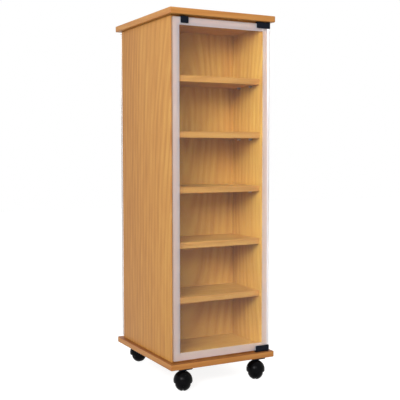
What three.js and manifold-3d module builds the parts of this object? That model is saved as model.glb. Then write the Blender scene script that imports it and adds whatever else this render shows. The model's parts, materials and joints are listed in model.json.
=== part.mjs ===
// Media tower on castors: a beech-effect board carcass that is open on two opposite faces,
// with a half-depth bank of shelves behind each face, closed by an overlaid glass door each.
// Millimetres, +Z up, origin on the floor under the middle, front towards -Y.

import * as THREE from 'three';
import { mergeVertices } from 'three/addons/utils/BufferGeometryUtils.js';
import Module from 'manifold-3d';

const wasm = await Module();
wasm.setup();

// Driving dimensions of the whole tower
const towerWidth = 310;
const towerDepth = 360;
const bodyHeight = 882;
const boardThickness = 16;
const castorHeight = 55.5;
// How far the top and base boards reach past the sides and past the closed doors
const overhang = 11;
// Glue line left between neighbouring boards
const seam = 0.2;
// Extra length by which a cutting tool passes the face it opens
const overrun = 1;

// Edges and corners of the boards
const boardEase = 0.8;
const easeSteps = 1;
const overhangRound = 2;
const overhangCorner = 1;
const overhangSteps = 3;

// Shelves and the partition between the two banks
const shelfLevels = 5;
const shelfClearHeight = 127;
const shelfRecess = 15;
const partitionThickness = 4;
const grooveDepth = 5;
const grooveFit = 0.3;

// Glass doors
const paneThickness = 5;
const paneStandOff = 5;
const paneEndGap = 4.5;
const paneCorner = 3;
const paneEase = 0.7;

// Hinge clips on the pane, their pins and the bushes in the boards
const clipWidth = 41;
const clipGrip = 12;
const clipWall = 2;
const clipFit = 0.3;
const clipEase = 0.6;
const pivotInset = 5;
const pinRadius = 2;
const pinEngagement = 8;
const pinClearance = 0.1;
const bushRadius = 4.5;
const bushDepth = 10;
const flangeThickness = 0.5;
const flangeRadius = 6.5;
const hingePlay = 0.3;
const roundSides = 16;

// Strike clip and the push latch that it meets
const strikeWidth = 22;
const strikeInset = 23;
const strikeGrip = 15;
const strikeWall = 1.5;
const barrelRadius = 5;
const barrelBore = 3.8;
const barrelLength = 46;
const barrelEnd = 1.5;
const barrelFlangeRadius = 6.8;
const barrelFlange = 1;
const plungerRadius = 3.5;
const plungerLength = 26;
const plungerTouch = 0.3;
const springWire = 0.45;
const springTurns = 5;
const springSides = 3;
const springStepsPerTurn = 8;
const springFit = 0.3;

// Castors
const castorSideInset = 44.5;
const castorEndInset = 22;
const wheelShare = 0.365;
const wheelTread = 2.5;
const wheelRings = 5;
const hubFaceInset = 0.8;
const hubRecess = 2;
const axleRadius = 3;
const axleCapRadius = 3.8;
const axleCap = 1.2;
const webThickness = 3;
const webInset = 0.6;
const wheelClearance = 0.4;
const castorTrail = 18;
const plateSize = 40;
const plateThickness = 3;
const plateCorner = 5;
const plateEase = 0.5;
const plateHoleSpacing = 30;
const plateHoleRadius = 2.3;
const plateHoleSides = 8;
const hoodWall = 2;
const hoodSides = 16;
const swivelHubRadius = 9;
const swivelGap = 0.5;
const kingpinRadius = 4;
// How far the hood stands out round the wheels, sits below the plate, lies back from the
// axle towards the swivel, and stops above the axle
const hoodMargin = 4.6;
const hoodGap = 0.7;
const hoodSetback = 2.5;
const hoodSkirtLift = 1.3;
// How far below the wheels' tops the kingpin and the hub round it reach
const kingpinDip = 1;
const swivelHubDip = 6;
// Heading of each castor as it stands at rest, in degrees from +X towards +Y
const castorHeadings = {
  front_left: 242,
  front_right: 235,
  rear_left: 291,
  rear_right: 62,
};

// Levels and planes that follow from these
const bodyWidth = towerWidth - 2 * overhang;
const doorStack = paneStandOff + paneThickness;
const bodyDepth = towerDepth - 2 * (overhang + doorStack);
const baseTop = castorHeight + boardThickness;
const bodyTop = baseTop + bodyHeight;
const innerHalfWidth = bodyWidth / 2 - boardThickness;
const faceDistance = bodyDepth / 2;
const shelfPitch = shelfClearHeight + boardThickness;
const bodyMiddle = baseTop + bodyHeight / 2;
const pivotX = bodyWidth / 2 - pivotInset;
const pivotY = faceDistance + paneStandOff + paneThickness / 2;
const strikeX = -bodyWidth / 2 + strikeInset + strikeWidth / 2;
const latchHeight = bodyTop - boardThickness / 2;
const plateBottom = castorHeight - plateThickness;
const wheelRadius = castorHeight * wheelShare;
const wheelInner = webThickness / 2 + wheelClearance;
const treadEnd = wheelInner + wheelTread;
const ballRadius = Math.hypot(wheelRadius, treadEnd);
const wheelReach = ballRadius - hubFaceInset;
const recessFloor = wheelReach - hubRecess;
const webRadius = wheelRadius - webInset;
const hoodRadius = wheelRadius + hoodMargin;
const hoodTrail = castorTrail - hoodSetback;
const hoodCentreHeight = plateBottom - hoodGap - hoodRadius;
const hoodSkirtHeight = wheelRadius + hoodSkirtLift;
const swivelHubBottom = 2 * wheelRadius - swivelHubDip;
const kingpinBottom = 2 * wheelRadius - kingpinDip;

// Finishes
const beech = new THREE.MeshStandardMaterial({ color: 0xd09a60, roughness: 0.5, metalness: 0 });
const paleBeech = new THREE.MeshStandardMaterial({ color: 0xd8ab78, roughness: 0.6, metalness: 0 });
const glass = new THREE.MeshStandardMaterial({
  color: 0xc4d6cf, roughness: 0.1, metalness: 0, transparent: true, opacity: 0.4,
});
const blackMetal = new THREE.MeshStandardMaterial({ color: 0x15171b, roughness: 0.3, metalness: 0.6 });
const blackNylon = new THREE.MeshStandardMaterial({ color: 0x121214, roughness: 0.45, metalness: 0 });
const steel = new THREE.MeshStandardMaterial({ color: 0xb9bcc0, roughness: 0.3, metalness: 1 });

// Solid helpers

// Closed manifold made from a geometry, with its shared points merged.
function toSolid(geometry) {
  const bare = geometry.clone();
  bare.deleteAttribute('normal');
  bare.deleteAttribute('uv');
  const merged = mergeVertices(bare);
  return new wasm.Manifold(new wasm.Mesh({
    numProp: 3,
    vertProperties: new Float32Array(merged.attributes.position.array),
    triVerts: new Uint32Array(merged.index.array),
  }));
}

// Geometry that holds the triangles of a manifold.
function toGeometry(solid) {
  const mesh = solid.getMesh();
  const geometry = new THREE.BufferGeometry();
  geometry.setAttribute('position', new THREE.BufferAttribute(mesh.vertProperties, mesh.numProp));
  geometry.setIndex(new THREE.BufferAttribute(mesh.triVerts, 1));
  geometry.computeVertexNormals();
  return geometry;
}

// First geometry with every one of the others taken away.
function cut(geometry, ...tools) {
  return toGeometry(tools.reduce((solid, tool) => solid.subtract(toSolid(tool)), toSolid(geometry)));
}

// All the geometries joined into one.
function join(geometry, ...others) {
  return toGeometry(others.reduce((solid, other) => solid.add(toSolid(other)), toSolid(geometry)));
}

// Rectangle about the origin with round corners.
function roundedRectangle(halfWidth, halfHeight, radius) {
  const shape = new THREE.Shape();
  shape.moveTo(halfWidth, -halfHeight + radius);
  shape.absarc(halfWidth - radius, halfHeight - radius, radius, 0, Math.PI / 2);
  shape.absarc(-halfWidth + radius, halfHeight - radius, radius, Math.PI / 2, Math.PI);
  shape.absarc(-halfWidth + radius, -halfHeight + radius, radius, Math.PI, Math.PI * 1.5);
  shape.absarc(halfWidth - radius, -halfHeight + radius, radius, Math.PI * 1.5, Math.PI * 2);
  return shape;
}

// Turns a geometry that was built along +Z so that it lies along the numbered world axis.
function alongAxis(geometry, axis) {
  const directions = [0, 1, 2].map((index) => new THREE.Vector3().setComponent(index, 1));
  const basis = new THREE.Matrix4().makeBasis(
    directions[(axis + 1) % 3], directions[(axis + 2) % 3], directions[axis],
  );
  return geometry.applyMatrix4(basis);
}

// Board between two corners. Its outline lies square to the numbered axis and has round
// corners, and every edge is eased in that many steps.
function board(low, high, axis, ease, corner, steps = easeSteps) {
  const across = (axis + 1) % 3;
  const along = (axis + 2) % 3;
  const outline = roundedRectangle(
    (high[across] - low[across]) / 2 - ease,
    (high[along] - low[along]) / 2 - ease,
    corner,
  );
  const depth = high[axis] - low[axis] - 2 * ease;
  const geometry = new THREE.ExtrudeGeometry(outline, {
    depth,
    bevelEnabled: true,
    bevelThickness: ease,
    bevelSize: ease,
    bevelSegments: steps,
    curveSegments: steps,
  });
  geometry.translate(0, 0, -depth / 2);
  alongAxis(geometry, axis);
  return geometry.translate(...low.map((value, index) => (value + high[index]) / 2));
}

// Plain block between two corners, used for cuts.
function block(low, high) {
  const size = low.map((value, index) => high[index] - value);
  return new THREE.BoxGeometry(...size).translate(...low.map((value, index) => value + size[index] / 2));
}

// Solid of revolution about +Z from an outline of [radius, height] points. The outline
// closes on itself, and its points are put in the order that faces outwards. Flats, not
// corners, lie towards the four sides.
function turned(outline, sides = roundSides) {
  const closed = [...outline, outline[0]];
  const doubleArea = outline.reduce((sum, [radius, height], index) => {
    const [nextRadius, nextHeight] = closed[index + 1];
    return sum + radius * nextHeight - nextRadius * height;
  }, 0);
  const ordered = doubleArea > 0 ? closed : closed.reverse();
  const points = ordered.map(([radius, height]) => new THREE.Vector2(radius, height));
  const geometry = new THREE.LatheGeometry(points, sides, Math.PI / sides);
  return geometry.rotateX(Math.PI / 2);
}

// Radius of the corners of a many-sided hole or rod whose flats lie at the given radius.
function cornerRadius(flatRadius, sides = roundSides) {
  return flatRadius / Math.cos(Math.PI / sides);
}

// Straight rod about +Z between two heights.
function rod(radius, bottom, top, sides = roundSides) {
  return turned([[0, bottom], [radius, bottom], [radius, top], [0, top]], sides);
}

// Named mesh of a sub-part.
function part(name, geometry, material) {
  const mesh = new THREE.Mesh(geometry, material);
  mesh.name = name;
  return mesh;
}

// Carcass

// Top and base boards, each with a blind bore for the two door bushes.
function overhangingBoard(name, bottom, bushFace, intoBoard) {
  const top = bottom + boardThickness;
  const sheet = board(
    [-towerWidth / 2, -towerDepth / 2, bottom],
    [towerWidth / 2, towerDepth / 2, top],
    2, overhangRound, overhangCorner, overhangSteps,
  );
  const boreRadius = cornerRadius(bushRadius + pinClearance);
  const deep = bushFace + intoBoard * (bushDepth + pinClearance);
  const mouth = bushFace - intoBoard * overrun;
  const bores = [-1, 1].map((side) => rod(boreRadius, Math.min(deep, mouth), Math.max(deep, mouth))
    .translate(pivotX, side * pivotY, 0));
  return part(name, cut(sheet, ...bores), beech);
}

// Groove for the partition, cut square to the numbered axis between two corners.
function partitionGroove(lowX, highX, lowZ, highZ) {
  const halfGroove = partitionThickness / 2 + grooveFit;
  return block([lowX, -halfGroove, lowZ], [highX, halfGroove, highZ]);
}

// Side panel on the left (side -1) or right (side 1).
function sidePanel(name, side) {
  const outer = side * bodyWidth / 2;
  const inner = side * innerHalfWidth;
  const grooveFloor = side * (innerHalfWidth + grooveDepth);
  const grooveMouth = side * (innerHalfWidth - overrun);
  const panel = board(
    [Math.min(outer, inner), -faceDistance, baseTop + seam],
    [Math.max(outer, inner), faceDistance, bodyTop - seam],
    0, boardEase, boardEase,
  );
  const groove = partitionGroove(
    Math.min(grooveFloor, grooveMouth), Math.max(grooveFloor, grooveMouth),
    baseTop + boardThickness - grooveDepth, bodyTop - boardThickness + grooveDepth,
  );
  return part(name, cut(panel, groove), beech);
}

// Board that spans the inside of the body from one door to the other.
function spanningBoard(bottom, top) {
  return board(
    [-innerHalfWidth + seam, -faceDistance, bottom],
    [innerHalfWidth - seam, faceDistance, top],
    2, boardEase, boardEase,
  );
}

// Floor of the lowest compartments.
function innerBottomPanel() {
  const bottom = baseTop + seam;
  const top = baseTop + boardThickness;
  const groove = partitionGroove(
    -innerHalfWidth - overrun, innerHalfWidth + overrun, top - grooveDepth, top + overrun,
  );
  return part('inner_bottom_panel', cut(spanningBoard(bottom, top), groove), beech);
}

// Roof of the highest compartments, bored at both ends for the push latches.
function innerTopPanel() {
  const bottom = bodyTop - boardThickness;
  const top = bodyTop - seam;
  const groove = partitionGroove(
    -innerHalfWidth - overrun, innerHalfWidth + overrun, bottom - overrun, bottom + grooveDepth,
  );
  const bores = [-1, 1].map((side) => {
    const bore = rod(
      cornerRadius(barrelRadius + pinClearance),
      faceDistance - barrelLength - pinClearance, faceDistance + overrun,
    );
    return facing(bore, side).translate(strikeX, 0, latchHeight);
  });
  return part('inner_top_panel', cut(spanningBoard(bottom, top), groove, ...bores), beech);
}

// Thin panel in grooves on all four sides, between the two banks of shelves.
function partition() {
  const reach = grooveDepth - grooveFit;
  const halfThickness = partitionThickness / 2;
  return part('centre_partition', block(
    [-innerHalfWidth - reach, -halfThickness, baseTop + boardThickness - reach],
    [innerHalfWidth + reach, halfThickness, bodyTop - boardThickness + reach],
  ), paleBeech);
}

// Shelves behind one face, numbered from the top.
function shelfBank(face, side) {
  const near = side * (partitionThickness / 2 + seam);
  const far = side * (faceDistance - shelfRecess);
  return Array.from({ length: shelfLevels }, (_, level) => {
    const middle = bodyMiddle + ((shelfLevels - 1) / 2 - level) * shelfPitch;
    return part(`${face}_shelf_${level + 1}`, board(
      [-innerHalfWidth + seam, Math.min(near, far), middle - boardThickness / 2],
      [innerHalfWidth - seam, Math.max(near, far), middle + boardThickness / 2],
      2, boardEase, boardEase,
    ), beech);
  });
}

// Doors

// Turns something built along +Z so that it points out of the front (side -1) or rear face.
function facing(geometry, side) {
  return geometry.rotateX(-side * Math.PI / 2);
}

const paneBottom = baseTop + paneEndGap;
const paneTop = bodyTop - paneEndGap;

// Distances of the pane's two faces from the middle plane of the tower.
const paneInner = faceDistance + paneStandOff;
const paneOuter = paneInner + paneThickness;

function pane(face, side) {
  const inner = side * paneInner;
  const outer = side * paneOuter;
  return part(`${face}_door_glass`, board(
    [-bodyWidth / 2, Math.min(inner, outer), paneBottom],
    [bodyWidth / 2, Math.max(inner, outer), paneTop],
    1, paneEase, paneCorner,
  ), glass);
}

// Channel that wraps one horizontal edge of the pane. Its outline lies in the Y-Z plane and
// runs along X, from lowX. The end is 1 at the pane's top edge and -1 at its bottom edge.
function edgeChannel(side, end, lowX, width, wall, head, grip) {
  const edge = end > 0 ? paneTop : paneBottom;
  const nearPane = side * (paneInner - clipFit);
  const farPane = side * (paneOuter + clipFit);
  const back = nearPane - side * wall;
  const front = farPane + side * wall;
  const ceiling = edge + end * clipFit;
  const crown = ceiling + end * head;
  const foot = edge - end * grip;
  const ease = clipEase;
  const shape = new THREE.Shape();
  shape.moveTo(back, foot);
  shape.lineTo(nearPane, foot);
  shape.lineTo(nearPane, ceiling);
  shape.lineTo(farPane, ceiling);
  shape.lineTo(farPane, foot);
  shape.lineTo(front, foot);
  shape.lineTo(front, crown - end * ease);
  shape.lineTo(front - side * ease, crown);
  shape.lineTo(back + side * ease, crown);
  shape.lineTo(back, crown - end * ease);
  shape.closePath();
  const geometry = new THREE.ExtrudeGeometry(shape, { depth: width, bevelEnabled: false });
  return alongAxis(geometry, 0).translate(lowX, 0, 0);
}

// Thickness of a hinge clip's head, which fills the end gap but for the flange and the play.
const clipHead = paneEndGap - clipFit - hingePlay - flangeThickness;

// Hinge parts at one corner of a door: the clip, its pin and the bush in the board.
function hinge(face, side, end) {
  const place = end > 0 ? 'top' : 'bottom';
  const boardFace = end > 0 ? bodyTop : baseTop;
  const clipCrown = boardFace - end * (flangeThickness + hingePlay);
  const clipCeiling = clipCrown - end * clipHead;
  const pinTip = boardFace + end * pinEngagement;
  const atPivot = (geometry) => geometry.translate(pivotX, side * pivotY, 0);
  const between = (radius, from, to) => rod(radius, Math.min(from, to), Math.max(from, to));

  const channel = edgeChannel(side, end, bodyWidth / 2 - clipWidth, clipWidth, clipWall, clipHead, clipGrip);
  const pinHole = between(
    cornerRadius(pinRadius + pinClearance), clipCeiling - end * overrun, clipCrown + end * overrun,
  );
  const clip = part(`${face}_door_${place}_hinge_clip`, cut(channel, atPivot(pinHole)), blackMetal);

  const pin = part(
    `${face}_door_${place}_hinge_pin`, atPivot(between(pinRadius, clipCeiling, pinTip)), steel,
  );

  const boreRadius = cornerRadius(pinRadius + pinClearance);
  const rim = boardFace - end * flangeThickness;
  const bush = part(`${face}_door_${place}_bush`, atPivot(turned([
    [boreRadius, rim],
    [flangeRadius, rim],
    [flangeRadius, boardFace - end * pinClearance],
    [bushRadius, boardFace - end * pinClearance],
    [bushRadius, boardFace + end * bushDepth],
    [boreRadius, boardFace + end * bushDepth],
  ])), blackNylon);
  return [clip, pin, bush];
}

// Distance from the middle plane to the back of the strike clip.
const strikeBack = paneInner - clipFit - strikeWall;

function strikeClip(face, side) {
  const channel = edgeChannel(
    side, 1, strikeX - strikeWidth / 2, strikeWidth, strikeWall, strikeWall, strikeGrip,
  );
  return part(`${face}_door_strike_clip`, channel, blackMetal);
}

// Helix that the latch spring follows, about +Z.
class SpringPath extends THREE.Curve {
  constructor(radius, bottom, top) {
    super();
    this.radius = radius;
    this.bottom = bottom;
    this.top = top;
  }

  getPoint(share, target = new THREE.Vector3()) {
    const angle = share * springTurns * Math.PI * 2;
    return target.set(
      this.radius * Math.cos(angle),
      this.radius * Math.sin(angle),
      this.bottom + share * (this.top - this.bottom),
    );
  }
}

// Push latch in the edge of the inner top panel: its barrel, its plunger and its spring.
function pushLatch(face, side) {
  const place = (geometry) => facing(geometry, side).translate(strikeX, 0, latchHeight);
  const barrelBack = faceDistance - barrelLength;
  const barrelFloor = barrelBack + barrelEnd;
  const flangeFace = faceDistance + barrelFlange;
  const plungerTip = strikeBack - plungerTouch;
  const plungerBack = plungerTip - plungerLength;
  const flangeSeat = faceDistance + pinClearance;

  const barrel = part(`${face}_latch_barrel`, place(turned([
    [0, barrelBack],
    [barrelRadius, barrelBack],
    [barrelRadius, flangeSeat],
    [barrelFlangeRadius, flangeSeat],
    [barrelFlangeRadius, flangeFace],
    [barrelBore, flangeFace],
    [barrelBore, barrelFloor],
    [0, barrelFloor],
  ])), blackNylon);
  const plunger = part(
    `${face}_latch_plunger`, place(rod(plungerRadius, plungerBack, plungerTip)), steel,
  );

  const springRadius = plungerRadius - springWire;
  const path = new SpringPath(
    springRadius, barrelFloor + springWire + springFit, plungerBack - springWire - springFit,
  );
  const wire = new THREE.Shape();
  wire.absarc(0, 0, springWire, 0, Math.PI * 2);
  const spring = part(`${face}_latch_spring`, place(new THREE.ExtrudeGeometry(wire, {
    steps: springTurns * springStepsPerTurn,
    curveSegments: springSides,
    extrudePath: path,
  })), steel);
  return [barrel, plunger, spring];
}

// Castors. Each is built about its own swivel axis, standing on the floor, with its wheels
// trailing along +X and its axle along Y.

// Points of a wheel's outline as [radius, distance from the castor's middle], swollen by a
// clearance: a level tread first, then its side of the ball that the pair of wheels forms.
function wheelOutline(inner, clearance) {
  const treadAngle = Math.asin(treadEnd / ballRadius);
  const hubAngle = Math.asin(wheelReach / ballRadius);
  const side = Array.from({ length: wheelRings + 1 }, (_, ring) => {
    const angle = treadAngle + (ring / wheelRings) * (hubAngle - treadAngle);
    const radius = ballRadius * Math.cos(angle) + clearance;
    return [cornerRadius(radius), ballRadius * Math.sin(angle) + clearance];
  });
  const [[treadRadius]] = side;
  return [[treadRadius, inner], ...side];
}

// Moves something built about +Z onto the wheels' axle, on one side of the castor.
function onAxle(geometry, side) {
  return geometry.rotateX(-side * Math.PI / 2).translate(castorTrail, 0, wheelRadius);
}

function castorWheel(name, side) {
  const bore = cornerRadius(axleRadius + pinClearance);
  const recessRadius = cornerRadius(axleCapRadius + wheelClearance);
  return part(name, onAxle(turned([
    ...wheelOutline(wheelInner, 0),
    [recessRadius, wheelReach],
    [recessRadius, recessFloor],
    [bore, recessFloor],
    [bore, wheelInner],
  ]), side), blackNylon);
}

function castorAxle(name) {
  const shoulder = recessFloor + wheelClearance;
  const end = shoulder + axleCap;
  return part(name, onAxle(turned([
    [0, -end],
    [axleCapRadius, -end],
    [axleCapRadius, -shoulder],
    [axleRadius, -shoulder],
    [axleRadius, shoulder],
    [axleCapRadius, shoulder],
    [axleCapRadius, end],
    [0, end],
  ]), 1), steel);
}

// Domed hood over both wheels, with the web between them and the hub of the swivel.
function castorHood(name) {
  const ball = (radius) => new THREE.SphereGeometry(radius, hoodSides, hoodSides / 2)
    .rotateX(Math.PI / 2).translate(hoodTrail, 0, hoodCentreHeight);
  const farOut = 2 * hoodRadius;
  const below = block(
    [hoodTrail - farOut, -farOut, hoodSkirtHeight - farOut],
    [hoodTrail + farOut, farOut, hoodSkirtHeight],
  );
  const hub = rod(swivelHubRadius, swivelHubBottom, plateBottom - swivelGap);
  const webDisc = onAxle(rod(webRadius, -webThickness / 2, webThickness / 2), 1);
  const stemReach = (hoodRadius - hoodWall / 2) * Math.SQRT1_2;
  const webStem = block(
    [hoodTrail - stemReach, -webThickness / 2, wheelRadius],
    [hoodTrail + stemReach, webThickness / 2, hoodCentreHeight + stemReach],
  );
  const pockets = [-1, 1].map((side) => onAxle(turned([
    [0, webThickness / 2],
    ...wheelOutline(webThickness / 2, wheelClearance),
    [0, wheelReach + wheelClearance],
  ]), side));
  const kingpinBore = rod(
    cornerRadius(kingpinRadius + pinClearance), kingpinBottom - wheelClearance, castorHeight,
  );
  const axleBore = onAxle(rod(cornerRadius(axleRadius + pinClearance), -webThickness, webThickness), 1);
  const shell = cut(ball(hoodRadius), ball(hoodRadius - hoodWall), below);
  return part(name, cut(join(shell, hub, webDisc, webStem), ...pockets, kingpinBore, axleBore), blackNylon);
}

// Fixing plate with its four screw holes and the kingpin riveted into it.
function castorPlate(name) {
  const half = plateSize / 2;
  const sheet = board(
    [-half, -half, plateBottom], [half, half, castorHeight - seam], 2, plateEase, plateCorner,
  );
  const kingpin = rod(kingpinRadius, kingpinBottom, castorHeight - plateThickness / 2);
  const hole = plateHoleSpacing / 2;
  const holes = [[-1, -1], [1, -1], [1, 1], [-1, 1]].map(([across, along]) => rod(
    plateHoleRadius, plateBottom - overrun, castorHeight + overrun, plateHoleSides,
  ).translate(across * hole, along * hole, 0));
  return part(name, cut(join(sheet, kingpin), ...holes), blackMetal);
}

// One castor: its plate is square to the tower, and the rest is turned to its heading.
function castor(corner, sideways, lengthways) {
  const name = `castor_${corner}`;
  const group = new THREE.Group();
  group.position.set(
    sideways * (towerWidth / 2 - castorSideInset), lengthways * (towerDepth / 2 - castorEndInset), 0,
  );
  const swivel = new THREE.Group();
  swivel.rotation.z = THREE.MathUtils.degToRad(castorHeadings[corner]);
  swivel.add(
    castorHood(`${name}_hood`),
    castorAxle(`${name}_axle`),
    castorWheel(`${name}_left_wheel`, 1),
    castorWheel(`${name}_right_wheel`, -1),
  );
  group.add(castorPlate(`${name}_plate`), swivel);
  return group;
}

// Assembly

const faces = [['front', -1], ['rear', 1]];
const mediaTower = new THREE.Group();
mediaTower.add(
  overhangingBoard('base_board', castorHeight, baseTop, -1),
  overhangingBoard('top_board', bodyTop, bodyTop, 1),
  sidePanel('left_side_panel', -1),
  sidePanel('right_side_panel', 1),
  innerBottomPanel(),
  innerTopPanel(),
  partition(),
);
for (const [face, side] of faces) {
  mediaTower.add(
    ...shelfBank(face, side),
    pane(face, side),
    ...hinge(face, side, 1),
    ...hinge(face, side, -1),
    strikeClip(face, side),
    ...pushLatch(face, side),
  );
}
mediaTower.add(
  castor('front_left', -1, -1),
  castor('front_right', 1, -1),
  castor('rear_left', -1, 1),
  castor('rear_right', 1, 1),
);

export default mediaTower;
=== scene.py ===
# %% [markdown]
# # A media tower on castors
# A tall, narrow cabinet in beech-effect board on four hooded castors. Its front and its rear
# each have a bank of shelves and a glass door with an etched border. The solids come from the
# CAD model and stay where they are. This notebook adds their finishes and the finest pieces.

# %% Load the solids
import json
import math

import bmesh
import bpy
import numpy as np
from mathutils import Color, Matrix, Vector

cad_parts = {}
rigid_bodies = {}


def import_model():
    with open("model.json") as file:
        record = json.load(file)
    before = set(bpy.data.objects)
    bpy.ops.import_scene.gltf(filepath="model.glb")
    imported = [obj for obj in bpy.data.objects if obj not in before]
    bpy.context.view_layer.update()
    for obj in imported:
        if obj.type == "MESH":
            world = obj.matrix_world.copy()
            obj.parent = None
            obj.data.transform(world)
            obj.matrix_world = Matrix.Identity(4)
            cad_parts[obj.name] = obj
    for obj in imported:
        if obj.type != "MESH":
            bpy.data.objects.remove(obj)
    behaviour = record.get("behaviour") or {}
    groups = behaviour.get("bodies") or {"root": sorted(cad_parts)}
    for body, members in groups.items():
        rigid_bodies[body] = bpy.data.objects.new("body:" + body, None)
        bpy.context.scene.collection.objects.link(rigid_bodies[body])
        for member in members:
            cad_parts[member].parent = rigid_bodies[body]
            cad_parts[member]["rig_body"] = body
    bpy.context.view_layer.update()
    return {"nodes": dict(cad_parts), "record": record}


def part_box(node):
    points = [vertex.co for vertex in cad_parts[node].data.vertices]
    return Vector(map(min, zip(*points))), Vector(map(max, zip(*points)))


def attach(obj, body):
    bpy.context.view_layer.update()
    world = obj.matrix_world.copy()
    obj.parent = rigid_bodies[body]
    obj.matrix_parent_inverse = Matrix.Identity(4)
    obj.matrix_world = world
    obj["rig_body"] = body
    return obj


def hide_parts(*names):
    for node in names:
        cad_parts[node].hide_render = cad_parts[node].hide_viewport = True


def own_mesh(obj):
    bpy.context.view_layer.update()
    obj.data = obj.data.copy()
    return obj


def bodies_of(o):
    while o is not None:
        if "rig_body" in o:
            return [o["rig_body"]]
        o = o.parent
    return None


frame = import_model()
nodes = frame["nodes"]
joints = {joint["name"]: joint for joint in frame["record"]["behaviour"]["joints"]}

# %% [markdown]
# ## Measuring the solids
# Every new piece is placed from the solid that it belongs to, so nothing drifts when a size
# changes. A solid's box gives most places. A castor stands askew, so its solids' points are
# projected on its own directions. Front and rear, top and bottom, left and right are signs, so
# one function makes both of a pair.

# %% Measuring
MM = 0.001
UP = np.array([0, 0, 1.0])
AXIS = {"x": 0, "y": 1, "z": 2}
FACES = {"front": -1, "rear": 1}
ENDS = {"top": 1, "bottom": -1}
SIDES = {"left": 1, "right": -1}
CORNERS = ("front_left", "front_right", "rear_left", "rear_right")


def box_of(node):
    """Lowest corner, highest corner and middle of a solid, as arrays."""
    low, high = (np.array(corner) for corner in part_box(node))
    return low, high, (low + high) / 2


def edge_of(node, axis, way):
    """Place where a solid ends on an axis: its highest for a way of 1, its lowest for -1."""
    low, high, _ = box_of(node)
    return (high if way > 0 else low)[AXIS[axis]]


def reach(node, direction, origin):
    """Least and greatest distance of a solid's points from the origin, along the direction."""
    points = np.array([vertex.co for vertex in nodes[node].data.vertices])
    distance = (points - np.array(origin)) @ np.array(direction)
    return distance.min(), distance.max()


def body_of(node):
    """Name of the body that a solid rides on."""
    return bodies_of(nodes[node])[0]


TOWER_HEIGHT = edge_of("top_board", "z", 1)
print("the tower is", round(TOWER_HEIGHT / MM, 1), "mm high")

# %% [markdown]
# ## Making a mesh from arrays
# Each new piece is one or more grids of points: a ring of points for every step along the piece,
# with quads between neighbouring rings. The faces of a grid come from its index numbers, shifted
# by one place in each direction.

# %% Mesh helpers
SMOOTH_ANGLE = math.radians(35)
MERGE = 1e-6


def grid_faces(rings, steps, closed_rings, closed_steps):
    """Quads of a grid whose point (ring, step) has the number ring * steps + step. A closed
    direction joins its last row back to its first."""
    ring = np.arange(rings if closed_rings else rings - 1)
    step = np.arange(steps if closed_steps else steps - 1)
    ring, step = (index.ravel() for index in np.meshgrid(ring, step, indexing="ij"))
    next_ring, next_step = (ring + 1) % rings, (step + 1) % steps
    corners = ((ring, step), (ring, next_step), (next_ring, next_step), (next_ring, step))
    return np.stack([at_ring * steps + at_step for at_ring, at_step in corners], axis=1)


def placed(name, data):
    """Object in the scene with that mesh, lamp or camera."""
    made = bpy.data.objects.new(name, data)
    bpy.context.scene.collection.objects.link(made)
    return made


def make_piece(name, shells, surface, body):
    """One object from shells, each a (points, closed rings, closed steps) grid. Points that
    coincide at a pole are merged, and the faces are turned outwards. A surface is a material
    and the name of its slot in the record; only the material is used here."""
    points, faces, start = [], [], 0
    for grid, closed_rings, closed_steps in shells:
        rings, steps = grid.shape[:2]
        points.append(grid.reshape(-1, 3))
        faces.append(grid_faces(rings, steps, closed_rings, closed_steps) + start)
        start += rings * steps
    mesh = bpy.data.meshes.new(name)
    mesh.from_pydata(np.concatenate(points).tolist(), [], np.concatenate(faces).tolist())
    shape = bmesh.new()
    shape.from_mesh(mesh)
    bmesh.ops.remove_doubles(shape, verts=shape.verts, dist=MERGE)
    bmesh.ops.recalc_face_normals(shape, faces=shape.faces)
    shape.to_mesh(mesh)
    shape.free()
    mesh.shade_smooth()
    mesh.set_sharp_from_angle(angle=SMOOTH_ANGLE)
    mesh.materials.append(surface[0])
    piece = placed(name, mesh)
    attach(piece, body)
    return piece


def stand_in(node, ending, shells, surface):
    """Piece in the place of a CAD solid, on the solid's own body."""
    piece = make_piece(f"{node}_{ending}", shells, surface, body_of(node))
    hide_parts(node)
    return piece


print("a tube of 3 rings of 4 points has", len(grid_faces(3, 4, False, True)), "quads")

# %% [markdown]
# ## Turned and rounded shapes
# Pins, bushes, wheels and hoods are turned: an outline of radius against height goes once round
# an axis. Moulded and machined edges are never sharp, so a helper first rounds the outline's
# corners with short arcs. Clips, and the castors' webs, are outlines carried along a line.

# %% Turning and carrying
ROUND_STEPS = 4
TURN_STEPS = 48


def softened(outline, radius, closed=False):
    """Outline with a quadratic arc in place of each corner: the arc starts and ends the radius
    away from the corner, or half an edge away where the edge is short."""
    outline = np.array(outline, float)
    before, after = np.roll(outline, 1, axis=0), np.roll(outline, -1, axis=0)

    def toward(neighbour):
        step = neighbour - outline
        length = np.maximum(np.linalg.norm(step, axis=1, keepdims=True), MERGE)
        return outline + step / length * np.minimum(radius, length / 2)

    start, corner, end = (points[:, None] for points in (toward(before), outline, toward(after)))
    share = np.linspace(0, 1, ROUND_STEPS)[None, :, None]
    arcs = (1 - share) ** 2 * start + 2 * share * (1 - share) * corner + share ** 2 * end
    if closed:
        return arcs.reshape(-1, outline.shape[1])
    middle = arcs[1:-1].reshape(-1, outline.shape[1])
    return np.concatenate([outline[:1], middle, outline[-1:]])


def axes_for(direction):
    """Two unit vectors square to the direction and to each other."""
    direction = np.array(direction, float)
    helper = np.eye(3)[np.argmin(np.abs(direction))]
    first = np.cross(helper, direction)
    first /= np.linalg.norm(first)
    return first, np.cross(direction, first)


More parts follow.
